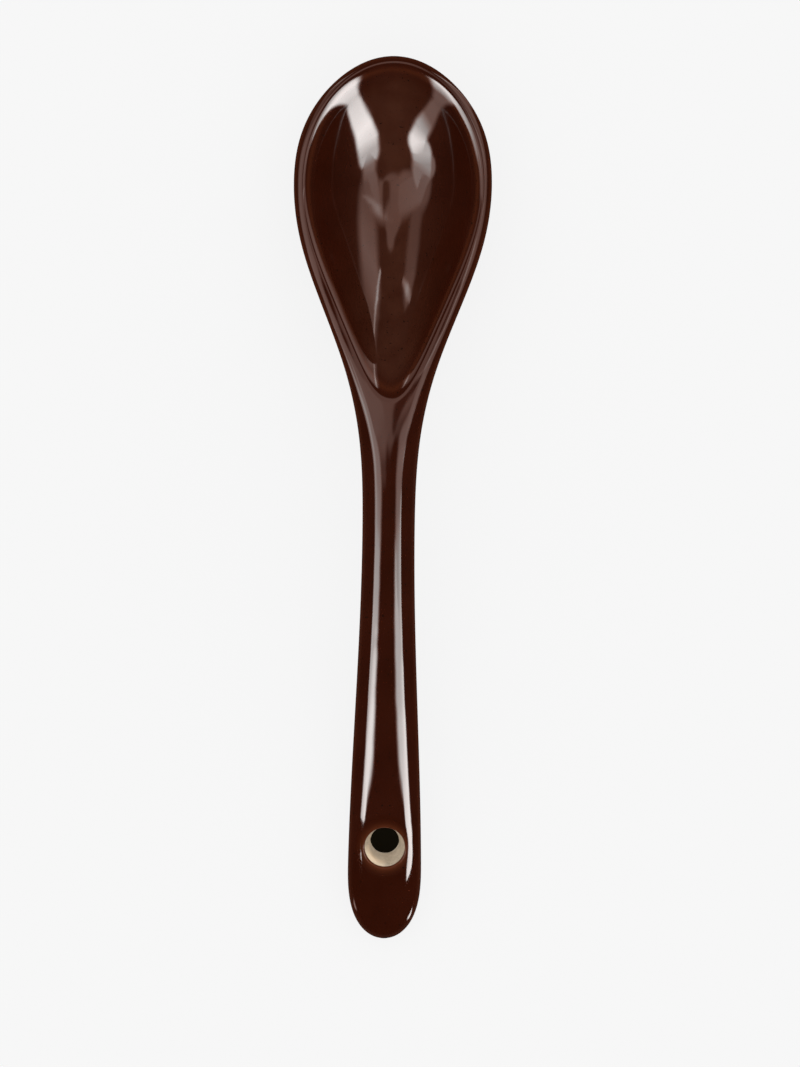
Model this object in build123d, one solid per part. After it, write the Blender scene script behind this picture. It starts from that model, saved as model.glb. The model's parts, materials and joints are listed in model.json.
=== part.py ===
from build123d import *
import math
import os

# A glazed stoneware spoon with a hanging hole, in millimetres.
# The spoon lies along Y, bowl tip toward +Y and handle end toward -Y, with +Z up.
# The origin is the middle of the small flat on which the bowl rests.
# A station is the distance from the bowl tip, measured along the spoon.

# Overall form
SPOON_LENGTH = 176.0
REST_STATION = 26.0          # station of the middle of the bowl's resting flat
TIP_ROUND = 24.0             # length over which the bowl tip rounds off in plan
TAIL_ROUND = 16.0            # length over which the handle end rounds off in plan
TAIL_DOME = 7.0              # length over which the crown of the handle runs out at its end
HALF_WIDTHS = [(0, 14.7), (25, 19.7), (37, 18.2), (50, 13.7), (62, 9.2),
               (75, 6.2), (92, 5.2), (125, 6.0), (160, 7.3), (176, 7.4)]
TOP_HEIGHTS = [(0, 14.2), (12, 13.4), (25, 13.2), (40, 14.2), (55, 16.5), (66, 18.3),
               (75, 18.95), (100, 18.2), (130, 15.1), (155, 10.7), (176, 6.0)]

# The rim of the bowl turns into the handle over the neck
NECK_START, NECK_STOP = 52.0, 84.0
RIM_ABOVE, HANDLE_ABOVE = 1.3, 3.8      # height of the top above the widest line
RIM_BELOW, HANDLE_BELOW = 1.2, 4.0      # depth of the rounded side below the widest line
RIM_ROUND, HANDLE_ROUND = 1.3, 5.0      # width of the rounded side in plan, below
RIM_SHOULDER = 2.6                      # the same above, along the rim
HANDLE_CROWN = 0.5                      # crowned share of the handle's top
CROWN_LOSS = 0.6                        # share of that crown lost before the hole
FLATTEN_START, FLATTEN_STOP = 138.0, 160.0
TAIL_THINNING = 0.14                    # share by which the handle thins toward its end
THIN_START, THIN_STOP = 90.0, 165.0

# Underside of the bowl
BELLY_DEPTH = 11.05
BELLY_DEEPEST = 28.0         # station at which the belly is deepest
BELLY_POWER = 2.2
BELLY_RUNS_OUT = 82.0

# Basin of the bowl
BASIN_FLOOR = 3.5
BASIN_RISE = 9.7
BASIN_POWER = 2.3
BASIN_CENTRE = 25.4
BASIN_HALF_WIDTH = 16.8
BASIN_TO_TIP = 21.9
BASIN_TO_NECK = 34.0
BASIN_END = 68.0
BASIN_NECKING = 0.48         # share by which the basin narrows toward the neck
LIP_ROUND = 1.6              # in the glaze, over a crisper clay edge

# Hanging hole, bare clay inside
HOLE_STATION = 157.5
HOLE_RADIUS = 2.9
HOLE_TILT = 12.0             # degrees, square to the handle's top
MOUTH_RADIUS = 4.0           # the hole tapers in from this mouth on the handle's top
TAPER_DEPTH = 3.2
UNDER_RADIUS = 3.3           # slight bevel where the hole comes out underneath
UNDER_DEPTH = 0.4

GLAZE = 0.4

# How the solids are made
SECTION_COUNT = 40
LIP_SHORTEST, LIP_LONGEST = 140.0, 170.0    # the lip is the one edge with a length between these
ROOM = (100, 400, 50)                       # box over the table that holds the whole spoon
GLAZE_CUT = 20.0                            # height of the cylinders that open the glaze at the hole
MOUTH_CUT_DEPTH, UNDER_CUT_DEPTH = 2.0, 4.0     # depths at which they start, inside the hole


def clamp(value):
    return min(max(value, 0.0), 1.0)


def ease(start, stop, station):
    part = clamp((station - start) / (stop - start))
    return part * part * (3 - 2 * part)


def curve_through(stations):
    """Natural cubic curve through (station, value) pairs."""
    xs = [pair[0] for pair in stations]
    ys = [pair[1] for pair in stations]
    last = len(xs) - 1
    ratio, load, bend = [0.0] * (last + 1), [0.0] * (last + 1), [0.0] * (last + 1)
    for i in range(1, last):
        before, after = xs[i] - xs[i - 1], xs[i + 1] - xs[i]
        turn = (ys[i + 1] - ys[i]) / after - (ys[i] - ys[i - 1]) / before
        pivot = 2 * (before + after) - before * ratio[i - 1]
        ratio[i] = after / pivot
        load[i] = (6 * turn - before * load[i - 1]) / pivot
    for i in range(last - 1, 0, -1):
        bend[i] = load[i] - ratio[i] * bend[i + 1]

    def value(x):
        i = 0
        while i < last - 1 and x > xs[i + 1]:
            i += 1
        span = xs[i + 1] - xs[i]
        left, right = (xs[i + 1] - x) / span, (x - xs[i]) / span
        bow = (left ** 3 - left) * bend[i] + (right ** 3 - right) * bend[i + 1]
        return left * ys[i] + right * ys[i + 1] + bow * span * span / 6

    return value


plan_width = curve_through(HALF_WIDTHS)
top_height = curve_through(TOP_HEIGHTS)


def end_round(distance, length):
    return math.sqrt(1 - (1 - clamp(distance / length)) ** 3)


def side_round(distance, width):
    return math.sqrt(1 - (1 - clamp(distance / width)) ** 2.5)


def half_width(station):
    ends = end_round(station, TIP_ROUND) * end_round(SPOON_LENGTH - station, TAIL_ROUND)
    return plan_width(station) * ends


def edge_distance(x, station):
    """Distance in plan from a point to the outline."""
    before, after = max(station - 0.01, 0.0), min(station + 0.01, SPOON_LENGTH)
    slope = (half_width(after) ** 2 - half_width(before) ** 2) / (after - before)
    return (half_width(station) ** 2 - x * x) / (math.hypot(slope, 2 * x) + 1e-9)


def along_neck(rim_value, handle_value, station):
    return rim_value + (handle_value - rim_value) * ease(NECK_START, NECK_STOP, station)


def thinning(station):
    return 1 - TAIL_THINNING * ease(THIN_START, THIN_STOP, station)


def widest_line(station):
    """Height at which the spoon is widest."""
    return top_height(station) - along_neck(RIM_ABOVE, HANDLE_ABOVE, station) * thinning(station)


def upper_skin(x, station):
    """Top of the spoon before the basin is hollowed out."""
    above = along_neck(RIM_ABOVE, HANDLE_ABOVE, station) * thinning(station)
    flatter = 1 - CROWN_LOSS * ease(FLATTEN_START, FLATTEN_STOP, station)
    crown = along_neck(0.0, HANDLE_CROWN, station) * flatter
    across = (x / max(half_width(station), 1e-6)) ** 2
    dome = (1 - across) * side_round(SPOON_LENGTH - station, TAIL_DOME)
    width = along_neck(RIM_SHOULDER, HANDLE_ROUND, station)
    side = side_round(edge_distance(x, station), width)
    return widest_line(station) + above * ((1 - crown) * side + crown * dome)


def lower_skin(x, station):
    """Underside of the spoon."""
    below = along_neck(RIM_BELOW, HANDLE_BELOW, station) * thinning(station)
    width = along_neck(RIM_ROUND, HANDLE_ROUND, station)
    across = abs(x / max(half_width(station), 1e-6)) ** BELLY_POWER
    from_tip = 1 - (1 - clamp(station / BELLY_DEEPEST)) ** BELLY_POWER
    to_handle = 1 - ease(BELLY_DEEPEST - 2, BELLY_RUNS_OUT, station)
    belly = BELLY_DEPTH * from_tip * to_handle * (1 - across)
    return widest_line(station) - below * side_round(edge_distance(x, station), width) - belly


def spot(x, station, height):
    return Vector(x, REST_STATION - station, height)


# Angles around a section, closer together at its rounded sides
SIDE_ANGLES = [0, 4, 9, 15, 23, 34, 48, 68]
HALF_TURN = SIDE_ANGLES + [90] + [180 - angle for angle in reversed(SIDE_ANGLES)]


def skin_point(station, angle, inset):
    """Point of the skin at an angle around a section, moved inward square to the skin."""

    def surface(place, turn):
        x = half_width(place) * math.cos(math.radians(turn))
        height = upper_skin(x, place) if turn % 360 <= 180 else lower_skin(x, place)
        return spot(x, place, height)

    along = surface(station + 0.02, angle) - surface(station - 0.02, angle)
    around = surface(station, angle + 0.2) - surface(station, angle - 0.2)
    return surface(station, angle) + along.cross(around).normalized() * inset


def shares_along(points):
    """Share of the whole length at which each point lies."""
    steps = [(after - before).length for before, after in zip(points, points[1:])]
    return [sum(steps[:i]) / sum(steps) for i in range(len(points))]


def half_section(station, start, inset):
    return [skin_point(station, start + angle, inset) for angle in HALF_TURN]


UPPER_SHARES = shares_along(half_section(NECK_START, 0, 0))
LOWER_SHARES = shares_along(half_section(NECK_START, 180, 0))


def section(station, inset):
    """Closed outline of the spoon across its length, split at its widest points."""
    halves = []
    for start, shares in ((0, UPPER_SHARES), (180, LOWER_SHARES)):
        halves.append(Edge.make_spline(half_section(station, start, inset), parameters=shares))
    return Wire(halves)


def blank(inset):
    """The spoon without basin or hole, its skin lying inset inside the outer one."""
    reach = SPOON_LENGTH / 2
    turns = [math.pi * i / SECTION_COUNT for i in range(1, SECTION_COUNT)]
    stations = [reach - reach * math.cos(turn) for turn in turns]
    tip = Vertex(spot(0, inset, widest_line(0)))
    tail = Vertex(spot(0, SPOON_LENGTH - inset, widest_line(SPOON_LENGTH)))
    sections = [section(station, inset) for station in stations]
    rest_plane = Box(*ROOM, align=(Align.CENTER, Align.CENTER, Align.MIN))
    return Solid.make_loft([tip] + sections + [tail]) & Pos(0, 0, inset) * rest_plane


def basin_point(share, angle, outset):
    """Point of the basin's wall on one of its contours, moved outward square to the wall."""

    def surface(size, turn):
        along = size * math.cos(math.radians(turn))
        reach = BASIN_TO_TIP if along > 0 else BASIN_TO_NECK
        station = BASIN_CENTRE - along * reach
        narrow = 1 - BASIN_NECKING * ease(BASIN_CENTRE, BASIN_END, station)
        x = BASIN_HALF_WIDTH * narrow * size * math.sin(math.radians(turn))
        return spot(x, station, BASIN_FLOOR + BASIN_RISE * size ** BASIN_POWER)

    outward = surface(share + 0.005, angle) - surface(share - 0.005, angle)
    around = surface(share, angle + 0.5) - surface(share, angle - 0.5)
    return surface(share, angle) + outward.cross(around).normalized() * outset


CONTOUR_ANGLES = range(0, 360, 15)
CONTOUR_SHARES = shares_along([basin_point(1, angle, 0) for angle in range(0, 361, 15)])


def contour(points):
    return Wire(Edge.make_spline(points, periodic=True, parameters=CONTOUR_SHARES))


def basin(outset):
    """Solid that hollows the bowl, its skin lying outset outside the basin's wall."""
    shares = [0.12, 0.25, 0.4, 0.55, 0.7, 0.85, 1.0, 1.15, 1.32]
    rings = [[basin_point(share, angle, outset) for angle in CONTOUR_ANGLES] for share in shares]
    clear_of_spoon = TOP_HEIGHTS[6][1] + 5
    lid = [Vector(point.X, point.Y, clear_of_spoon) for point in rings[-1]]
    floor = Vertex(spot(0, BASIN_CENTRE, BASIN_FLOOR - outset))
    return Solid.make_loft([floor] + [contour(ring) for ring in rings + [lid]])


def hollowed(inset):
    """The spoon with its basin, its skin lying inset inside the outer one, without the hole."""
    return blank(inset) - basin(inset)


def on_hole(depth):
    """Place on the hole's axis, at a depth below the top of the handle, facing up along it."""
    top = spot(0, HOLE_STATION, upper_skin(0, HOLE_STATION))
    return Pos(*top) * Rot(X=HOLE_TILT) * Pos(0, 0, -depth)


def taper(place, radius, depth):
    """Cone as wide as radius at the clay's skin, narrowing to the hole over depth."""
    beyond = 2.0
    widest = radius + (radius - HOLE_RADIUS) * beyond / depth
    base = (Align.CENTER, Align.CENTER, Align.MIN)
    return place * Pos(0, 0, -depth) * Cone(HOLE_RADIUS, widest, depth + beyond, align=base)


def ceramic_body():
    """Fired clay under the glaze, bare inside the hanging hole."""
    thickness = upper_skin(0, HOLE_STATION) - lower_skin(0, HOLE_STATION)
    drill = on_hole(thickness / 2) * Cylinder(HOLE_RADIUS, 3 * thickness)
    mouth = taper(on_hole(GLAZE), MOUTH_RADIUS, TAPER_DEPTH)
    under = taper(on_hole(thickness - GLAZE) * Rot(X=180), UNDER_RADIUS, UNDER_DEPTH)
    return hollowed(GLAZE) - drill - mouth - under


def glaze_coat():
    """Brown glaze over the whole spoon, stopping at the rims of the hanging hole."""
    spoon = hollowed(0)
    lip = spoon.edges().filter_by(lambda edge: LIP_SHORTEST < edge.length < LIP_LONGEST)
    coat = spoon.fillet(LIP_ROUND, lip) - hollowed(GLAZE)
    base = (Align.CENTER, Align.CENTER, Align.MIN)
    above = on_hole(MOUTH_CUT_DEPTH) * Cylinder(MOUTH_RADIUS, GLAZE_CUT, align=base)
    below = on_hole(UNDER_CUT_DEPTH) * Rot(X=180) * Cylinder(UNDER_RADIUS, GLAZE_CUT, align=base)
    return coat - above - below


os.makedirs("parts", exist_ok=True)
export_step(ceramic_body(), "parts/ceramic_body.step")
export_step(glaze_coat(), "parts/glaze_coat.step")
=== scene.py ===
import json
import math

import bmesh
import bpy
import numpy as np
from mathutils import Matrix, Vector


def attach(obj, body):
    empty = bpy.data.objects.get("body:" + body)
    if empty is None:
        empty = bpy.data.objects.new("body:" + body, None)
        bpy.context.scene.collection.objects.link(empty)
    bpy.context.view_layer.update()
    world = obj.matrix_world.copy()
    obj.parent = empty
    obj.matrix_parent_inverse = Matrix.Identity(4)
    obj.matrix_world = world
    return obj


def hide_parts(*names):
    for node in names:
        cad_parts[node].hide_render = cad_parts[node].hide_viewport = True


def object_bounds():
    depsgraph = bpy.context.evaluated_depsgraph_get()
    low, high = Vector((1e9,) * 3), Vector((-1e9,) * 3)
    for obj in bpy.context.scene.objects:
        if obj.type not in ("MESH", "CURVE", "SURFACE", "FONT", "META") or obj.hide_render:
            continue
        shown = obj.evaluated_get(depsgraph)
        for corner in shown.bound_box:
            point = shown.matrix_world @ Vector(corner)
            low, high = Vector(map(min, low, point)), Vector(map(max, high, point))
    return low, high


# A glazed stoneware spoon. Shapes are worked out in millimetres and turned into metres
# as each mesh is made. A station is the distance from the bowl tip along the spoon.

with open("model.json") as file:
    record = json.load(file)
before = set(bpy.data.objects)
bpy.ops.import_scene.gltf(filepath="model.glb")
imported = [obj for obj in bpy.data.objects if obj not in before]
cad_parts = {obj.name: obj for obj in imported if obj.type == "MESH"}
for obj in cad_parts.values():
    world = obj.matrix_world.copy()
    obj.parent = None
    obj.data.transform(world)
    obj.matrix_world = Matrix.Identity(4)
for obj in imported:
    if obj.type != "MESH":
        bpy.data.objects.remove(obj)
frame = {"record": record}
CAD_LOW, CAD_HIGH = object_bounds()
MM = 0.001

# Overall form
SPOON_LENGTH = (CAD_HIGH.y - CAD_LOW.y) / MM
TIP_Y = CAD_HIGH.y / MM
TIP_ROUND, TAIL_ROUND = 24.0, 16.0      # lengths over which the ends round off in plan
TAIL_DOME = 7.0                         # length over which the crown runs out at the end
HALF_WIDTHS = [(0, 14.7), (25, 19.7), (37, 18.2), (50, 13.7), (62, 9.2),
               (75, 6.2), (92, 5.2), (125, 6.0), (160, 7.3), (176, 7.4)]
TOP_HEIGHTS = [(0, 14.2), (12, 13.4), (25, 13.2), (40, 14.2), (55, 16.5), (66, 18.3),
               (75, 18.95), (100, 18.2), (130, 15.1), (155, 10.7), (176, 6.0)]

# The rim of the bowl turns into the handle over the neck
NECK_START, NECK_STOP = 52.0, 84.0
RIM_ABOVE, HANDLE_ABOVE = 1.3, 3.8      # height of the top above the widest line
RIM_BELOW, HANDLE_BELOW = 1.2, 4.0      # depth of the rounded side below the widest line
RIM_ROUND, HANDLE_ROUND = 1.3, 5.0      # width of the rounded side in plan, below
RIM_SHOULDER = 2.6                      # the same above, along the rim
HANDLE_CROWN = 0.5                      # crowned share of the handle's top
CROWN_LOSS = 0.6                        # share of that crown lost before the hole
FLATTEN_START, FLATTEN_STOP = 138.0, 160.0
TAIL_THINNING = 0.14                    # share by which the handle thins toward its end
THIN_START, THIN_STOP = 90.0, 165.0

# Belly and basin of the bowl
BELLY_DEPTH, BELLY_POWER, BELLY_DEEPEST, BELLY_RUNS_OUT = 11.05, 2.2, 28.0, 82.0
BASIN_FLOOR, BASIN_RISE, BASIN_POWER = 3.5, 9.7, 2.3
BASIN_CENTRE, BASIN_HALF_WIDTH = 25.4, 16.8
BASIN_TO_TIP, BASIN_TO_NECK, BASIN_END, BASIN_NECKING = 21.9, 34.0, 68.0, 0.48
LIP_SOFTNESS = 2.2                      # height difference over which the lip rounds over
REST_SOFTNESS = 0.12                    # the same at the edge of the resting flat

# Glaze and hanging hole
GLAZE = 0.4
MOUTH_RADIUS, TAPER_DEPTH = 4.0, 3.2
UNDER_RADIUS, UNDER_DEPTH = 3.3, 0.4
MOUTH_SINK, MOUTH_SINK_WIDTH = 0.35, 1.5    # the glaze sinks toward the hole's mouth


# --- shape formulas, all on arrays ------------------------------------------------------

def ease(start, stop, station):
    part = np.clip((station - start) / (stop - start), 0, 1)
    return part * part * (3 - 2 * part)


def curve_through(stations):
    """Natural cubic curve through (station, value) pairs."""
    xs, ys = np.array(stations, float).T
    count = len(xs)
    gaps = np.diff(xs)
    matrix, load = np.eye(count), np.zeros(count)
    for i in range(1, count - 1):
        matrix[i, i - 1:i + 2] = gaps[i - 1], 2 * (gaps[i - 1] + gaps[i]), gaps[i]
        load[i] = 6 * ((ys[i + 1] - ys[i]) / gaps[i] - (ys[i] - ys[i - 1]) / gaps[i - 1])
    bend = np.linalg.solve(matrix, load)

    def value(x):
        i = np.clip(np.searchsorted(xs, x) - 1, 0, count - 2)
        left, right = (xs[i + 1] - x) / gaps[i], (x - xs[i]) / gaps[i]
        bow = (left ** 3 - left) * bend[i] + (right ** 3 - right) * bend[i + 1]
        return left * ys[i] + right * ys[i + 1] + bow * gaps[i] ** 2 / 6

    return value


plan_width = curve_through(HALF_WIDTHS)
top_height = curve_through(TOP_HEIGHTS)


def end_round(distance, length):
    return np.sqrt(1 - (1 - np.clip(distance / length, 0, 1)) ** 3)


def side_round(distance, width):
    return np.sqrt(1 - (1 - np.clip(distance / width, 0, 1)) ** 2.5)


def half_width(station):
    station = np.clip(station, 0, SPOON_LENGTH)
    ends = end_round(station, TIP_ROUND) * end_round(SPOON_LENGTH - station, TAIL_ROUND)
    return plan_width(station) * ends


def edge_distance(x, station):
    """Distance in plan from a point to the outline."""
    before = np.clip(station - 0.01, 0, SPOON_LENGTH)
    after = np.clip(station + 0.01, 0, SPOON_LENGTH)
    slope = (half_width(after) ** 2 - half_width(before) ** 2) / (after - before)
    return (half_width(station) ** 2 - x * x) / (np.hypot(slope, 2 * x) + 1e-9)


def along_neck(rim_value, handle_value, station):
    return rim_value + (handle_value - rim_value) * ease(NECK_START, NECK_STOP, station)


def thinning(station):
    return 1 - TAIL_THINNING * ease(THIN_START, THIN_STOP, station)


def widest_line(station):
    """Height at which the spoon is widest."""
    above = along_neck(RIM_ABOVE, HANDLE_ABOVE, station) * thinning(station)
    return top_height(station) - above


def crown_skin(x, station):
    """Top of the spoon before the basin is hollowed out."""
    above = along_neck(RIM_ABOVE, HANDLE_ABOVE, station) * thinning(station)
    flatter = 1 - CROWN_LOSS * ease(FLATTEN_START, FLATTEN_STOP, station)
    crown = along_neck(0.0, HANDLE_CROWN, station) * flatter
    across = (x / np.maximum(half_width(station), 1e-6)) ** 2
    dome = (1 - across) * side_round(SPOON_LENGTH - station, TAIL_DOME)
    side = side_round(edge_distance(x, station), along_neck(RIM_SHOULDER, HANDLE_ROUND, station))
    return widest_line(station) + above * ((1 - crown) * side + crown * dome)


def basin_skin(x, station):
    """Wall of the basin, which goes on rising outside the rim."""
    narrow = 1 - BASIN_NECKING * ease(BASIN_CENTRE, BASIN_END, station)
    reach = np.where(station < BASIN_CENTRE, BASIN_TO_TIP, BASIN_TO_NECK)
    share = np.hypot(x / (BASIN_HALF_WIDTH * narrow), (station - BASIN_CENTRE) / reach)
    return BASIN_FLOOR + BASIN_RISE * share ** BASIN_POWER


def soft_min(first, second, softness):
    """The lower of two heights, rounded over where they are close."""
    overlap = np.maximum(softness - np.abs(first - second), 0) / softness
    return np.minimum(first, second) - overlap ** 2 * softness / 4


def mouth_distance(x, station):
    """Distance in plan from the middle of the hanging hole's mouth."""
    return np.hypot(x, station - MOUTH_STATION)


def upper_skin(x, station):
    """Top of the finished spoon."""
    top = soft_min(crown_skin(x, station), basin_skin(x, station), LIP_SOFTNESS)
    outside = np.maximum(mouth_distance(x, station) - MOUTH_RADIUS, 0)
    return top - MOUTH_SINK * np.exp(-outside / MOUTH_SINK_WIDTH)


def lower_skin(x, station):
    """Underside of the spoon, cut off level where it rests."""
    below = along_neck(RIM_BELOW, HANDLE_BELOW, station) * thinning(station)
    width = along_neck(RIM_ROUND, HANDLE_ROUND, station)
    across = np.minimum(np.abs(x / np.maximum(half_width(station), 1e-6)), 1) ** BELLY_POWER
    from_tip = 1 - (1 - np.clip(station / BELLY_DEEPEST, 0, 1)) ** BELLY_POWER
    to_handle = 1 - ease(BELLY_DEEPEST - 2, BELLY_RUNS_OUT, station)
    belly = BELLY_DEPTH * from_tip * to_handle * (1 - across)
    side = below * side_round(edge_distance(x, station), width)
    return -soft_min(belly + side - widest_line(station), 0.0, REST_SOFTNESS)


# --- the hanging hole's axis, from the record -------------------------------------------

HOLE = next(mount for mount in frame["record"]["mounts"] if mount["name"] == "hanging_hole")
AXIS = np.array(HOLE["axis"], float)
AXIS /= np.linalg.norm(AXIS)
ACROSS = np.array([1.0, 0.0, 0.0])
ALONG = np.cross(AXIS, ACROSS)
BORE_MIDDLE = np.array(HOLE["pos_m"], float) / MM
BORE_RADIUS = HOLE["dims"]["r_mm"]


def axis_meets(surface):
    """Point where the hole's axis passes through a skin."""
    point = BORE_MIDDLE.copy()
    for _ in range(8):
        height = surface(np.array([point[0]]), np.array([TIP_Y - point[1]]))[0]
        point = point + AXIS * (height - point[2]) / AXIS[2]
    return point


MOUTH_MIDDLE = axis_meets(crown_skin)
MOUTH_STATION = TIP_Y - MOUTH_MIDDLE[1]
UNDER_MIDDLE = axis_meets(lower_skin)


# --- mesh building ----------------------------------------------------------------------

FINE_STEPS = 4001       # places at which a density is added up
END_GAP = 0.02          # from the first and last row to the points of the spoon's ends


def spread(low, high, density, count):
    """Count + 1 places from low to high, as close together as density asks."""
    places = np.linspace(low, high, FINE_STEPS)
    weight = density(places)
    total = np.concatenate([[0], np.cumsum((weight[1:] + weight[:-1]) / 2)])
    return np.interp(np.linspace(0, total[-1], count + 1), total, places)


def row_density(station):
    """Rows lie closer together at both ends, at the end of the basin and at the hole."""
    tip, tail = station + END_GAP, SPOON_LENGTH - station + END_GAP
    ends = 1.1 / np.sqrt(tip) + 1.1 / np.sqrt(tail) + 2.0 * np.exp(-tip / 6)
    basin_end = 1.6 * np.exp(-((station - BASIN_END + 1.5) / 4) ** 2)
    return 2.2 + ends + basin_end + 1.0 * np.exp(-((station - MOUTH_STATION) / 6) ** 2)


ROW_COUNT, TOP_COLUMNS, UNDER_COLUMNS = 462, 104, 44
ROWS = spread(END_GAP, SPOON_LENGTH - END_GAP, row_density, ROW_COUNT)


def top_angles(station):
    """Angles of the top half of a section, closer together over the lip."""

    def density(angle):
        x = half_width(station) * np.cos(angle)
        lip = np.abs(crown_skin(x, station) - basin_skin(x, station))
        return 1 + 1.8 * np.exp(-(lip / 0.9) ** 2)

    return spread(0, math.pi, density, TOP_COLUMNS)


TOP_ANGLES = np.array([top_angles(np.full(FINE_STEPS, station)) for station in ROWS])
UNDER_ANGLES = np.tile(np.linspace(math.pi, 2 * math.pi, UNDER_COLUMNS + 1), (len(ROWS), 1))


def section_point(angle, station, surface):
    x = half_width(station) * np.cos(angle)
    return np.stack([x, TIP_Y - station, surface(x, station)], -1)


def grid_points(angles, stations, surface, inset):
    """Points of one skin on a grid of angles and stations, moved inward square to it."""
    points = section_point(angles, stations, surface)
    if not inset:
        return points
    turn, step = 0.004, np.minimum(0.02, np.minimum(stations, SPOON_LENGTH - stations) / 2)
    along = section_point(angles, stations + step, surface)
    along = along - section_point(angles, stations - step, surface)
    around = section_point(angles + turn, stations, surface)
    around = around - section_point(angles - turn, stations, surface)
    return points + unit(np.cross(along, around)) * inset


def unit(vectors):
    return vectors / np.maximum(np.linalg.norm(vectors, axis=-1, keepdims=True), 1e-12)


def on_skin(plan, surface, inset, outward):
    """Points of a skin above or below places in plan, moved inward square to it."""
    x, station = plan[..., 0], TIP_Y - plan[..., 1]
    points = np.stack([x, plan[..., 1], surface(x, station)], -1)
    reach = 0.02
    slope_x = (surface(x + reach, station) - surface(x - reach, station)) / (2 * reach)
    slope_y = (surface(x, station - reach) - surface(x, station + reach)) / (2 * reach)
    normals = unit(np.stack([-slope_x, -slope_y, np.ones_like(x)], -1)) * outward
    return points - normals * inset


def circle_on_skin(middle, radius, angles, surface):
    """Circle round the hole's axis, pushed along the axis onto a skin."""
    flat = middle + radius * (np.cos(angles)[:, None] * ACROSS + np.sin(angles)[:, None] * ALONG)
    for _ in range(6):
        height = surface(flat[:, 0], TIP_Y - flat[:, 1])
        flat = flat + AXIS * ((height - flat[:, 2]) / AXIS[2])[:, None]
    return flat


class Mesh:
    """Collects points and faces."""

    def __init__(self):
        self.points, self.faces, self.count = [], [], 0

    def add(self, points):
        points = np.asarray(points, float).reshape(-1, 3)
        self.points.append(points)
        numbers = np.arange(self.count, self.count + len(points))
        self.count += len(points)
        return numbers

    def band(self, first, second):
        """Quads between two closed rings of equally many points."""
        self.faces += np.stack([first, np.roll(first, -1), np.roll(second, -1), second], 1).tolist()

    def halving_band(self, fine, coarse):
        """Triangles between a closed ring and one with half as many points."""
        for i, here in enumerate(coarse):
            left, middle = fine[2 * i], fine[2 * i + 1]
            right, after = fine[(2 * i + 2) % len(fine)], coarse[(i + 1) % len(coarse)]
            self.faces += [[left, middle, here], [middle, after, here], [middle, right, after]]


def block_limits(size, middle_station, angles):
    """Even row and column numbers of the block of quads that a hole's patch replaces."""
    rows = np.where(np.abs(ROWS - middle_station) < size)[0]
    low_row, high_row = rows[0] - rows[0] % 2, rows[-1] + rows[-1] % 2
    middle_row = (low_row + high_row) // 2
    x = half_width(ROWS[middle_row]) * np.cos(angles[middle_row])
    inside = np.where(np.abs(x) < size)[0]
    return low_row, high_row, inside[0] - inside[0] % 2, inside[-1] + inside[-1] % 2


TOP_BLOCK_SIZE, UNDER_BLOCK_SIZE = 5.9, 5.2     # half the blocks replaced round the hole
PATCH_RINGS = 12
TOP_BLOCK = block_limits(TOP_BLOCK_SIZE, MOUTH_STATION, TOP_ANGLES)
UNDER_BLOCK = block_limits(UNDER_BLOCK_SIZE, TIP_Y - UNDER_MIDDLE[1], UNDER_ANGLES)


def loop_of(numbers, low_row, high_row, low_column, high_column):
    """Numbers of the points around a block of the grid, in order."""
    top = numbers[low_row, low_column:high_column]
    right = numbers[low_row:high_row, high_column]
    bottom = numbers[high_row, high_column:low_column:-1]
    left = numbers[high_row:low_row:-1, low_column]
    return np.concatenate([top, right, bottom, left])


def patch(mesh, loop, middle, radii, drops, surface, inset, outward, rings):
    """Rings of quads from a block's outline to circles round the hole. Returns the last ring."""
    start = np.concatenate(mesh.points)[loop]
    flat = start - middle
    angles = np.arctan2(flat @ ALONG, flat @ ACROSS)
    rim = circle_on_skin(middle, radii[0], angles, surface)
    plan = surface_plan(start, surface, inset, outward)
    last = loop
    for i in range(1, rings + 1):
        part = i / rings
        ring = on_skin(plan * (1 - part) + rim[:, :2] * part, surface, inset, outward)
        numbers = mesh.add(ring)
        mesh.band(last, numbers)
        last = numbers
    for radius, drop in zip(radii[1:], drops[1:]):
        ring = circle_on_skin(middle, radius, angles, surface) - AXIS * drop * outward
        numbers = mesh.add(ring)
        mesh.band(last, numbers)
        last = numbers
    return last, angles


def surface_plan(points, surface, inset, outward):
    """Places in plan whose inset skin passes through the given points."""
    plan = points[:, :2].copy()
    for _ in range(4 if inset else 1):
        plan += points[:, :2] - on_skin(plan, surface, inset, outward)[:, :2]
    return plan


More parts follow.
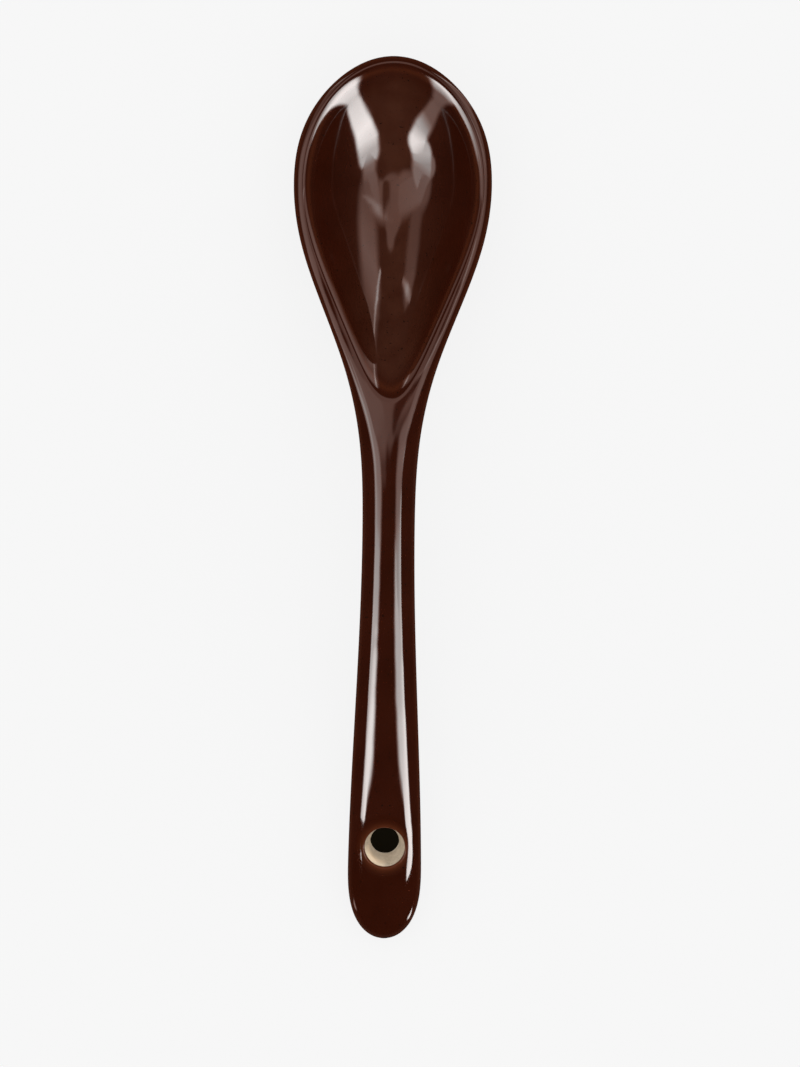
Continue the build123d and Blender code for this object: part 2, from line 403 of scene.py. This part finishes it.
def skin(mesh, step, inset, top_radii, top_drops, under_radii, under_drops):
    """The whole skin with its two hole patches, using every step-th row and column."""
    rows = ROWS[::step]
    top, under = TOP_ANGLES[::step, ::step], UNDER_ANGLES[::step, ::step]
    stations = np.repeat(rows[:, None], top.shape[1], 1)
    upper = grid_points(top, stations, upper_skin, inset)
    stations = np.repeat(rows[:, None], under.shape[1] - 2, 1)
    lower = grid_points(under[:, 1:-1], stations, lower_skin, inset)
    ring_size = upper.shape[1] + lower.shape[1]
    numbers = mesh.add(np.concatenate([upper, lower], 1)).reshape(len(rows), ring_size)
    wrapped = np.concatenate([numbers, numbers[:, :1]], 1)
    tip = mesh.add([0, TIP_Y - inset, widest_line(np.array(0.0))])[0]
    tail = mesh.add([0, TIP_Y - SPOON_LENGTH + inset, widest_line(np.array(SPOON_LENGTH))])[0]
    keep = np.ones((len(rows) - 1, ring_size), bool)
    first_under = upper.shape[1] - 1
    blocks = [[value // step for value in TOP_BLOCK], [value // step for value in UNDER_BLOCK]]
    blocks[1][2] += first_under
    blocks[1][3] += first_under
    for low_row, high_row, low_column, high_column in blocks:
        keep[low_row:high_row, low_column:high_column] = False
    quads = np.stack([wrapped[:-1, :-1], wrapped[1:, :-1], wrapped[1:, 1:], wrapped[:-1, 1:]], -1)
    mesh.faces += quads[keep].tolist()
    for column in range(ring_size):
        following = (column + 1) % ring_size
        mesh.faces.append([tip, numbers[0, column], numbers[0, following]])
        mesh.faces.append([tail, numbers[-1, following], numbers[-1, column]])
    ends = []
    sides = ((blocks[0], MOUTH_MIDDLE, top_radii, top_drops, upper_skin, 1),
             (blocks[1], UNDER_MIDDLE, under_radii, under_drops, lower_skin, -1))
    for block, middle, radii, drops, surface, outward in sides:
        loop = loop_of(wrapped, *block)
        rings = PATCH_RINGS // step
        ends.append(patch(mesh, loop, middle, radii, drops, surface, inset, outward, rings))
    return ends


def wander(points, wavelength, seed):
    """Smooth wandering value, about -1 to 1, over points in space."""
    chance = np.random.default_rng(seed)
    total, waves = np.zeros(len(points)), 14
    for _ in range(waves):
        direction = unit(chance.normal(size=3))
        stretch = chance.uniform(0.7, 1.6)
        total += np.sin(points @ direction * 2 * math.pi / (wavelength * stretch)
                        + chance.uniform(0, 2 * math.pi))
    return total / math.sqrt(waves / 2) / 1.6


def to_object(mesh, name, material):
    """Blender object from the collected mesh, without its unused points, and those points."""
    points = np.concatenate(mesh.points)
    used = np.unique(np.concatenate([np.array(face) for face in mesh.faces]))
    renumber = np.full(len(points), -1)
    renumber[used] = np.arange(len(used))
    data = bpy.data.meshes.new(name)
    faces = [renumber[face].tolist() for face in mesh.faces]
    data.from_pydata((points[used] * MM).tolist(), [], faces)
    data.validate()
    data.polygons.foreach_set("use_smooth", [True] * len(data.polygons))
    data.materials.append(material)
    return placed(data), points[used]


def placed(data):
    """Object that puts a mesh or a camera in the scene."""
    item = bpy.data.objects.new(data.name, data)
    bpy.context.scene.collection.objects.link(item)
    return item


def store(item, name, values):
    """Keeps one value for each point, for the material to read."""
    attribute = item.data.attributes.new(name, "FLOAT", "POINT")
    attribute.data.foreach_set("value", np.asarray(values, np.float32))


# --- node helpers -----------------------------------------------------------------------

def add_node(tree, kind, **settings):
    """New node with the given input values and properties."""
    item = tree.nodes.new(kind)
    for key, value in settings.items():
        if key in item.inputs:
            item.inputs[key].default_value = value
        else:
            setattr(item, key, value)
    return item


def noise(tree, where, size_mm, detail=2.0, roughness=0.5):
    item = add_node(tree, "ShaderNodeTexNoise", Scale=1 / (size_mm * MM), Detail=detail,
                    Roughness=roughness)
    tree.links.new(where, item.inputs["Vector"])
    return item.outputs["Fac"]


def between(tree, value, low, high, out_low=0.0, out_high=1.0):
    """Value that runs from out_low to out_high as the input runs from low to high."""
    item = add_node(tree, "ShaderNodeMapRange", clamp=True)
    item.inputs["From Min"].default_value = low
    item.inputs["From Max"].default_value = high
    item.inputs["To Min"].default_value = out_low
    item.inputs["To Max"].default_value = out_high
    tree.links.new(value, item.inputs["Value"])
    return item.outputs["Result"]


def combine(tree, operation, first, second):
    item = add_node(tree, "ShaderNodeMath", operation=operation)
    for slot, value in enumerate((first, second)):
        if isinstance(value, (int, float)):
            item.inputs[slot].default_value = value
        else:
            tree.links.new(value, item.inputs[slot])
    return item.outputs[0]


def mix_colour(tree, share, first, second):
    item = add_node(tree, "ShaderNodeMix", data_type="RGBA")
    for slot, value in ((0, share), (6, first), (7, second)):
        if isinstance(value, tuple):
            item.inputs[slot].default_value = value
        else:
            tree.links.new(value, item.inputs[slot])
    return item.outputs[2]


def bump(tree, height, strength, distance_mm, below=None):
    item = add_node(tree, "ShaderNodeBump", Strength=strength, Distance=distance_mm * MM)
    tree.links.new(height, item.inputs["Height"])
    if below is not None:
        tree.links.new(below, item.inputs["Normal"])
    return item.outputs["Normal"]


def new_material(name):
    """Material with its node tree, its shader and its object coordinates."""
    material = bpy.data.materials.new(name)
    material.use_nodes = True
    tree = material.node_tree
    shader = tree.nodes["Principled BSDF"]
    where = add_node(tree, "ShaderNodeTexCoord").outputs["Object"]
    return material, tree, shader, where


def glaze_material():
    """Glossy chocolate glaze, redder where it runs thin over edges, a little paler brown in the
    middle of the bowl.
    """
    material, tree, shader, where = new_material("brown_glaze")
    thin = add_node(tree, "ShaderNodeAttribute", attribute_name="thin_glaze").outputs["Fac"]
    dark_brown, brown = (0.0290, 0.0050, 0.0018, 1), (0.0370, 0.0066, 0.0026, 1)
    red_brown, paler_brown = (0.110, 0.027, 0.010, 1), (0.066, 0.0200, 0.0105, 1)
    speck_brown = (0.010, 0.004, 0.002, 1)
    cloud = between(tree, noise(tree, where, 9.0, 3.0), 0.35, 0.7)
    colour = mix_colour(tree, cloud, dark_brown, brown)
    colour = mix_colour(tree, thin, colour, red_brown)
    # paler brown toward the middle of the basin, in blotches
    basin_middle = add_node(tree, "ShaderNodeAttribute", attribute_name="basin_middle").outputs["Fac"]
    blotches = between(tree, noise(tree, where, 5.0, 5.0), 0.3, 0.65, 0.5, 1.0)
    basin_middle = combine(tree, "MULTIPLY", basin_middle, blotches)
    colour = mix_colour(tree, basin_middle, colour, paler_brown)
    speck = between(tree, noise(tree, where, 0.55, 1.0), 0.70, 0.76)
    colour = mix_colour(tree, speck, colour, speck_brown)
    tree.links.new(colour, shader.inputs["Base Color"])
    wear = between(tree, noise(tree, where, 3.0, 4.0, 0.6), 0.4, 0.75, 0.05, 0.09)
    satin = between(tree, thin, 0.58, 0.8, 0.0, 0.3)
    tree.links.new(combine(tree, "MAXIMUM", wear, satin), shader.inputs["Roughness"])
    # the mouth's edge shines less, and glaze mirrored in glaze hardly mirrors again
    shine = between(tree, thin, 0.58, 0.8, 0.5, 0.12)
    mirrored = add_node(tree, "ShaderNodeLightPath").outputs["Is Glossy Ray"]
    shine = combine(tree, "MULTIPLY", shine, between(tree, mirrored, 0.0, 1.0, 1.0, 0.15))
    tree.links.new(shine, shader.inputs["Specular IOR Level"])
    shader.inputs["IOR"].default_value = 1.52
    peel = bump(tree, noise(tree, where, 1.4, 2.0), 0.25, 0.006)
    pits = between(tree, noise(tree, where, 0.8, 0.0), 0.74, 0.80)
    tree.links.new(bump(tree, pits, -0.5, 0.02, peel), shader.inputs["Normal"])
    return material


def clay_material():
    """Pale matt fired clay with fine grog, with a painted highlight on the ledge under the mouth.
    """
    material, tree, shader, where = new_material("fired_clay")
    beige, pale_beige = (0.50, 0.41, 0.30, 1), (0.64, 0.545, 0.42, 1)
    # the cream colour is a painted highlight on the lit part of the mouth's ledge
    grog_brown, painted_highlight_cream = (0.26, 0.17, 0.10, 1), (0.97, 0.76, 0.53, 1)
    cloud = between(tree, noise(tree, where, 1.6, 4.0, 0.65), 0.35, 0.7)
    colour = mix_colour(tree, cloud, beige, pale_beige)
    grog = between(tree, noise(tree, where, 0.22, 1.0), 0.66, 0.74)
    colour = mix_colour(tree, grog, colour, grog_brown)
    # painted highlight: cream where the ledge would catch the light, read from the ledge attribute
    ledge = add_node(tree, "ShaderNodeAttribute", attribute_name="ledge").outputs["Fac"]
    colour = mix_colour(tree, ledge, colour, painted_highlight_cream)
    tree.links.new(colour, shader.inputs["Base Color"])
    shader.inputs["Roughness"].default_value = 0.85
    grain = bump(tree, noise(tree, where, 0.18, 3.0), 0.5, 0.03)
    lumps = bump(tree, noise(tree, where, 0.9, 2.0), 0.4, 0.08, grain)
    tree.links.new(lumps, shader.inputs["Normal"])
    return material


# --- the two pieces ---------------------------------------------------------------------

# The glaze rolls over into the hole with this radius
ROLL = 0.38
ROLL_ANGLES = np.radians([15, 35, 55, 75, 90])
CLEARANCE = 0.02        # between the glaze's inner side and the clay


def rolled_edge(radius):
    """Radii and drops of rings that roll the glaze over into the hole."""
    radii = [radius + ROLL] + list(radius + ROLL * (1 - np.sin(ROLL_ANGLES)))
    drops = [0.0] + list(ROLL * (1 - np.cos(ROLL_ANGLES)))
    return radii + [radius], drops + [GLAZE + 0.05]


def make_glaze():
    """Outer skin, the glaze's inner side and the rolled edges that join them at the hole."""
    mesh = Mesh()
    top_radii, top_drops = rolled_edge(MOUTH_RADIUS)
    under_radii, under_drops = rolled_edge(UNDER_RADIUS)
    ends = skin(mesh, 1, 0.0, top_radii, top_drops, under_radii, under_drops)
    (top_ring, _), (under_ring, _) = ends
    outer_count = mesh.count
    inner = Mesh()
    inner_ends = skin(inner, 2, GLAZE, [MOUTH_RADIUS + CLEARANCE] * 2, [0, GLAZE],
                      [UNDER_RADIUS + CLEARANCE] * 2, [0, GLAZE])
    mesh.add(np.concatenate(inner.points))
    mesh.faces += [[number + outer_count for number in reversed(face)] for face in inner.faces]
    mesh.halving_band(top_ring, inner_ends[0][0] + outer_count)
    mesh.halving_band(under_ring, inner_ends[1][0] + outer_count)
    points = np.concatenate(mesh.points)
    drift = wander(points, 11.0, 3) * 0.018 + wander(points, 4.5, 8) * 0.004
    outside = np.arange(len(points)) < outer_count
    points[:, 2] += np.where(outside, drift, 0)
    mesh.points = [points]
    item, used = to_object(mesh, "glaze_coat_skin", glaze_material())
    mark_glaze(item, used)
    return item


def mark_glaze(item, used):
    """Marks where the glaze runs thin and the paler middle of the basin."""
    x, station = used[:, 0], TIP_Y - used[:, 1]
    basin_depth = crown_skin(x, station) - basin_skin(x, station)
    near_top = used[:, 2] > widest_line(np.clip(station, 0, SPOON_LENGTH)) - 0.3
    thin_lip = 0.35 * np.exp(-(basin_depth / 0.5) ** 2) * near_top
    from_mouth = np.maximum(mouth_distance(x, station) - MOUTH_RADIUS, 0)
    thin_mouth = 0.9 * np.exp(-(from_mouth / 0.8) ** 1.5)
    from_edge = np.maximum(edge_distance(x, station), 0)
    thin_edge = 0.35 * np.exp(-(from_edge / 0.5) ** 2)
    store(item, "thin_glaze", np.maximum(np.maximum(thin_lip, thin_mouth), thin_edge))
    on_top = used[:, 2] > (lower_skin(x, station) + upper_skin(x, station)) / 2
    in_basin = np.clip(basin_depth / 3, 0, 1) * on_top
    store(item, "basin_middle", in_basin * np.exp(-(x / 7) ** 2))


# Middle of the hole's mouth in the clay, which keeps a ledge on the mouth's lower left side
CLAY_MOUTH = MOUTH_MIDDLE - AXIS * GLAZE
LEDGE_TURN = -135.0                             # degrees round from the right
LEDGE_REACH, LEDGE_SHINE_REACH = 62.0, 50.0     # degrees to either side
LEDGE_WIDTH = 0.62


def toward_ledge(degrees, reach):
    """1 at the middle of the ledge, falling to 0 at reach degrees to either side."""
    away = np.abs((degrees - LEDGE_TURN + 180) % 360 - 180)
    return np.clip(1 - away / reach, 0, 1)


def make_clay():
    """Clay under the glaze, with the uneven tapered wall of the hole."""
    mesh = Mesh()
    inset = GLAZE + CLEARANCE
    ends = skin(mesh, 2, inset, [MOUTH_RADIUS + 0.3, MOUTH_RADIUS + 0.05], [0, inset],
                [UNDER_RADIUS + 0.3, UNDER_RADIUS + 0.05], [0, inset])
    (top_ring, top_turn), (under_ring, under_turn) = ends
    last = top_ring
    for points in hole_rings(top_turn, inset):
        numbers = mesh.add(points)
        mesh.band(last, numbers)
        last = numbers
    join_rings(mesh, last, top_turn, under_ring, under_turn)
    item, used = to_object(mesh, "clay_body", clay_material())
    mark_ledge_highlight(item, used)
    return item


def hole_rings(turn, inset):
    """Rings down the hole's wall: the ledge, the taper that leans up the handle, and the bore."""
    chance = np.random.default_rng(5)
    corner = toward_ledge(np.degrees(turn), LEDGE_REACH) ** 0.5
    ledge, fall = LEDGE_WIDTH * corner, 0.4 + corner

    def ring(radius, depth):
        depth = np.broadcast_to(depth, turn.shape)[:, None]
        rough = 0.02 * np.sin(turn * 7 + depth[:, 0] * 3) + chance.normal(0, 0.012, len(turn))
        spokes = np.cos(turn)[:, None] * ACROSS + np.sin(turn)[:, None] * ALONG
        share = depth / TAPER_DEPTH
        lean = 0.5 * np.minimum(share, 1) - 0.25 * np.maximum(share - 1, 0)
        return CLAY_MOUTH + spokes * (radius + rough)[:, None] + lean * ALONG - AXIS * depth

    skin_height = circle_on_skin(MOUTH_MIDDLE, MOUTH_RADIUS, turn, upper_skin) @ AXIS - inset
    sunk = CLAY_MOUTH @ AXIS - skin_height
    ledge_fall = 0.3
    for share, drop in ((0.5, 0.4 * ledge_fall), (1.0, ledge_fall)):
        yield ring(MOUTH_RADIUS - ledge * share, sunk + drop * fall)
    start_radius, start_depth = MOUTH_RADIUS - ledge, sunk + ledge_fall * fall
    for share in (0.15, 0.3, 0.5, 0.7, 0.85, 1.0):
        radius = start_radius + (BORE_RADIUS - start_radius) * share
        yield ring(radius, start_depth + (TAPER_DEPTH - start_depth) * share)
    bore_end = np.linalg.norm(MOUTH_MIDDLE - UNDER_MIDDLE) - 2 * GLAZE - UNDER_DEPTH
    for share in (0.5, 1.0):
        yield ring(BORE_RADIUS, TAPER_DEPTH + (bore_end - TAPER_DEPTH) * share)


def mark_ledge_highlight(item, used):
    """Marks the part of the ledge that gets a painted highlight, where the light would catch it."""
    offset = used - CLAY_MOUTH
    flat = offset - (offset @ AXIS)[:, None] * AXIS
    degrees = np.degrees(np.arctan2(flat @ ALONG, flat @ ACROSS))
    near_mouth = np.clip((np.linalg.norm(flat, axis=1) - MOUTH_RADIUS + 1.1) / 0.4, 0, 1)
    store(item, "ledge", toward_ledge(degrees, LEDGE_SHINE_REACH) ** 0.6 * near_mouth)


def join_rings(mesh, first, first_turn, second, second_turn):
    """Triangles between two closed rings with different numbers of points."""

    def ordered(ring, turn):
        order = np.argsort(turn % (2 * math.pi))
        return np.array(ring)[order], (turn % (2 * math.pi))[order]

    one, one_turn = ordered(first, first_turn)
    two, two_turn = ordered(second, second_turn)
    i = j = 0
    while i < len(one) or j < len(two):
        next_one = one_turn[i + 1] if i + 1 < len(one) else 2 * math.pi + one_turn[0]
        next_two = two_turn[j + 1] if j + 1 < len(two) else 2 * math.pi + two_turn[0]
        here, there = one[i % len(one)], two[j % len(two)]
        if j >= len(two) or (i < len(one) and next_one <= next_two):
            mesh.faces.append([here, there, one[(i + 1) % len(one)]])
            i += 1
        else:
            mesh.faces.append([here, there, two[(j + 1) % len(two)]])
            j += 1


def face_outward(item):
    """Turn all faces of a closed mesh the same way, outward."""
    shape = bmesh.new()
    shape.from_mesh(item.data)
    bmesh.ops.recalc_face_normals(shape, faces=shape.faces)
    shape.to_mesh(item.data)
    shape.free()


for piece, node, slot in ((make_glaze(), "glaze_coat", "brown_glaze"),
                          (make_clay(), "ceramic_body", "fired_clay")):
    face_outward(piece)
    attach(piece, "root")
    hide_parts(node)


# --- floor, lights, camera --------------------------------------------------------------

OBJECT_LOW, OBJECT_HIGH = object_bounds()
MIDDLE = (OBJECT_LOW + OBJECT_HIGH) / 2
STUDIO_WHITE, STUDIO_DARK = 0.93, 0.03      # background, and unlit parts as the glaze mirrors them
FILL = 0.9              # even light on matt surfaces
FLOOR_SHARE = 0.10      # share of the fill light that the floor gives back


def floor_material():
    """Pale, evenly glowing floor with a faint shadow, and a painted dark spot of shade where the
    hole shows it from above.
    """
    material, tree, shader, where = new_material("floor")
    under = UNDER_MIDDLE - AXIS * UNDER_MIDDLE[2] / AXIS[2]
    offset = add_node(tree, "ShaderNodeVectorMath", operation="DISTANCE")
    offset.inputs[1].default_value = (0, under[1] * MM, OBJECT_LOW.z)
    tree.links.new(where, offset.inputs[0])
    # painted shade: a dark spot under the hole, seen only from nearly straight above, stands in for
    # the shade seen through the bore
    shade_spot_radius, shade_spot_end = 4.8 * MM, 5.8 * MM
    clear = between(tree, offset.outputs["Value"], shade_spot_radius, shade_spot_end)
    toward_eye = add_node(tree, "ShaderNodeSeparateXYZ")
    geometry = add_node(tree, "ShaderNodeNewGeometry")
    tree.links.new(geometry.outputs["Incoming"], toward_eye.inputs[0])
    clear = combine(tree, "MAXIMUM", clear, between(tree, toward_eye.outputs["Z"], 0.95, 0.8))
    # the dark colour paints the shade under the hole
    dark, pale = (0.012, 0.010, 0.006, 1), (FLOOR_SHARE, FLOOR_SHARE, FLOOR_SHARE, 1)
    grey = mix_colour(tree, clear, dark, pale)
    tree.links.new(grey, shader.inputs["Base Color"])
    shader.inputs["Roughness"].default_value = 1.0
    shader.inputs["Specular IOR Level"].default_value = 0.0
    shader.inputs["Emission Color"].default_value = (1, 1, 1, 1)
    glow = combine(tree, "MULTIPLY", clear, STUDIO_WHITE - FLOOR_SHARE * FILL)
    tree.links.new(glow, shader.inputs["Emission Strength"])
    return material


# Studio light around the spoon, as the glaze mirrors it. A direction is given by the slope
# of the surface that would mirror it straight up: (0, 0) is overhead, length 1 the horizon.
# Each band runs through (across, up, half width, glow) and has softened borders.
BANDS = [
    # right: tall softbox from overhead down to the horizon
    (0.07, [(0.26, 0.02, 0.09, 1.7), (0.27, -0.10, 0.085, 3.2), (0.30, -0.20, 0.13, 9.0),
            (0.34, -0.30, 0.14, 16.0), (0.40, -0.40, 0.13, 19.0), (0.49, -0.50, 0.12, 16.0),
            (0.57, -0.60, 0.11, 14.0), (0.65, -0.70, 0.09, 10.5), (0.73, -0.80, 0.08, 13.0),
            (0.82, -0.95, 0.07, 10.0)]),
    # left: the same, dimmer toward the horizon
    (0.07, [(-0.36, 0.00, 0.12, 1.5), (-0.34, -0.06, 0.14, 3.6), (-0.36, -0.12, 0.14, 5.5),
            (-0.36, -0.20, 0.14, 9.0), (-0.31, -0.29, 0.115, 17.0), (-0.38, -0.40, 0.10, 8.0),
            (-0.50, -0.50, 0.10, 2.3), (-0.60, -0.60, 0.09, 2.2), (-0.76, -0.70, 0.07, 1.7),
            (-0.92, -0.82, 0.06, 3.0)]),
    # upper right and upper left: dim walls, each with a bright border
    (0.10, [(0.27, 0.05, 0.10, 1.3), (0.31, 0.15, 0.11, 1.8), (0.37, 0.28, 0.13, 2.2),
            (0.47, 0.39, 0.11, 1.9), (0.62, 0.52, 0.09, 1.1), (0.80, 0.65, 0.08, 1.5),
            (0.98, 0.76, 0.06, 2.5)]),
    (0.02, [(0.21, 0.30, 0.010, 5.0), (0.36, 0.41, 0.014, 6.0), (0.52, 0.51, 0.012, 4.5),
            (0.70, 0.63, 0.014, 3.5), (0.90, 0.74, 0.02, 3.2)]),
    (0.08, [(-0.28, 0.08, 0.08, 1.0), (-0.30, 0.20, 0.08, 1.0), (-0.34, 0.30, 0.09, 1.1),
            (-0.42, 0.40, 0.06, 1.4)]),
    (0.02, [(-0.23, 0.335, 0.012, 2.5), (-0.36, 0.385, 0.018, 5.0), (-0.50, 0.44, 0.010, 3.0)]),
    # overhead: dim ceiling, cut off below by the dark of the camera
    (0.05, [(-0.30, 0.00, 0.08, 1.4), (-0.12, 0.01, 0.07, 1.7), (0.03, 0.06, 0.05, 1.4),
            (0.25, 0.05, 0.07, 1.6)]),
    (0.04, [(0.00, 0.07, 0.11, 1.3), (0.02, 0.16, 0.05, 1.4), (0.02, 0.20, 0.01, 1.4)]),
    (0.015, [(0.40, 0.067, 0.002, 1.6), (0.30, 0.073, 0.008, 3.2), (0.15, 0.083, 0.012, 4.0),
             (0.02, 0.094, 0.005, 1.9), (-0.10, 0.106, 0.003, 1.5)]),
    # two paler strips that cross the ceiling
    (0.04, [(0.30, -0.14, 0.07, 2.6), (0.20, 0.01, 0.06, 2.3), (0.14, 0.07, 0.03, 2.1)]),
    (0.04, [(-0.45, -0.12, 0.10, 2.8), (-0.30, 0.01, 0.09, 2.3), (-0.08, 0.05, 0.05, 1.9)]),
]
# Dark gaps in the same form, with the share of light they take away
GAPS = [
    (0.025, [(0.057, 0.036, 0.034, 0.9), (0.077, 0.062, 0.018, 0.9), (0.093, 0.088, 0.002, 0.9)]),
]


def band_glow(across, up, soft, marks):
    """Brightness of one band at each slope."""
    best, glow = np.full(across.shape, -1e9), np.zeros(across.shape)
    for first, second in zip(marks, marks[1:]):
        first, second = np.array(first), np.array(second)
        way = second[:2] - first[:2]
        part = ((across - first[0]) * way[0] + (up - first[1]) * way[1]) / (way @ way)
        part = np.clip(part, 0, 1)
        aside = np.hypot(across - first[0] - part * way[0], up - first[1] - part * way[1])
        inside = first[2] + (second[2] - first[2]) * part - aside
        glow = np.where(inside > best, first[3] + (second[3] - first[3]) * part, glow)
        best = np.maximum(best, inside)
    share = np.clip(best / soft + 0.5, 0, 1)
    return glow * share * share * (3 - 2 * share)


def studio():
    """Dome that carries the studio light and is seen only in reflections."""
    reach, steps, radius, middle_height = 1.35, 340, 0.55, 0.01
    places = np.linspace(-reach, reach, steps + 1)
    across, up = np.meshgrid(places, places)
    size = across ** 2 + up ** 2
    way = np.stack([2 * across, 2 * up, 1 - size], -1) / (1 + size)[..., None]
    points = (way * radius + np.array([0, 0, middle_height])).reshape(-1, 3)
    numbers = np.arange(len(points)).reshape(across.shape)
    faces = np.stack([numbers[:-1, :-1], numbers[:-1, 1:], numbers[1:, 1:], numbers[1:, :-1]], -1)
    data = bpy.data.meshes.new("studio_dome")
    data.from_pydata(points.tolist(), [], faces.reshape(-1, 4).tolist())
    glow = np.full(across.shape, STUDIO_DARK)
    for soft, marks in BANDS:
        glow = np.maximum(glow, band_glow(across, up, soft, marks))
    for soft, marks in GAPS:
        glow = glow * (1 - band_glow(across, up, soft, marks))
    material = bpy.data.materials.new("studio_light")
    material.use_nodes = True
    tree = material.node_tree
    tree.nodes.clear()
    strength = add_node(tree, "ShaderNodeAttribute", attribute_name="glow").outputs["Fac"]
    bright = between(tree, strength, 1.5, 6.0)
    warm, nearly_white = (1.0, 0.60, 0.50, 1), (1.0, 0.955, 0.935, 1)
    colour = mix_colour(tree, bright, warm, nearly_white)
    light = add_node(tree, "ShaderNodeEmission")
    tree.links.new(colour, light.inputs["Color"])
    out = add_node(tree, "ShaderNodeOutputMaterial")
    tree.links.new(strength, light.inputs["Strength"])
    tree.links.new(light.outputs[0], out.inputs["Surface"])
    material.cycles.emission_sampling = "NONE"
    data.materials.append(material)
    item = placed(data)
    store(item, "glow", glow.ravel())
    seen_only_mirrored(item)


def dark_card():
    """Card just beyond the handle end that keeps the softboxes out of its reflections."""
    data = bpy.data.meshes.new("dark_card")
    y, left, step, right = CAD_LOW.y - 0.018, -0.12, 0.02, 0.12
    high, low = 0.090, 0.060
    corners = [(left, y, 0), (step, y, 0), (step, y, high), (left, y, high),
               (right, y, 0), (right, y, low), (step, y, low)]
    data.from_pydata(corners, [], [(0, 1, 2, 3), (1, 4, 5, 6)])
    material, _, shader, _ = new_material("dark_card")
    shader.inputs["Base Color"].default_value = (0, 0, 0, 1)
    shader.inputs["Specular IOR Level"].default_value = 0.0
    data.materials.append(material)
    seen_only_mirrored(placed(data))


def seen_only_mirrored(item):
    """Makes a piece of the studio show only in reflections."""
    for rays in ("camera", "diffuse", "transmission", "volume_scatter", "shadow"):
        setattr(item, "visible_" + rays, False)


def floor():
    """Wide floor just under the spoon."""
    data = bpy.data.meshes.new("floor")
    half, low = 12, OBJECT_LOW.z
    corners = [(-half, -half, low), (half, -half, low), (half, half, low), (-half, half, low)]
    data.from_pydata(corners, [], [(0, 1, 2, 3)])
    data.materials.append(floor_material())
    item = placed(data)
    item.visible_glossy = False


def even_fill():
    """Even light for matt surfaces, and the pale background behind the floor."""
    world = bpy.data.worlds.new("studio")
    bpy.context.scene.world = world
    world.use_nodes = True
    tree = world.node_tree
    paths = add_node(tree, "ShaderNodeLightPath").outputs
    fill, back = (FILL, FILL, FILL, 1), (STUDIO_WHITE, STUDIO_WHITE, STUDIO_WHITE, 1)
    dark = (STUDIO_DARK, STUDIO_DARK, STUDIO_DARK, 1)
    light = mix_colour(tree, paths["Is Camera Ray"], fill, back)
    light = mix_colour(tree, paths["Is Glossy Ray"], light, dark)
    tree.links.new(light, tree.nodes["Background"].inputs["Color"])


def overhead_camera():
    """Looks straight down on the spoon, which lies a little off the middle of the picture."""
    length, distance = SPOON_LENGTH * MM, 1.1
    picture_height = 1.207833 * length
    right, up, lean = 0.012452 * length, 0.038941 * length, math.radians(0.71)
    data = bpy.data.cameras.new("camera")
    data.lens = data.sensor_width * distance / picture_height
    item = placed(data)
    aside = right * math.cos(lean) + up * math.sin(lean)
    down = up * math.cos(lean) - right * math.sin(lean)
    item.location = (MIDDLE.x + aside, MIDDLE.y - down, MIDDLE.z + distance)
    item.rotation_euler = (0, 0, lean)
    bpy.context.scene.camera = item


studio()
dark_card()
floor()
even_fill()
overhead_camera()
bpy.context.scene.view_settings.view_transform = "Standard"
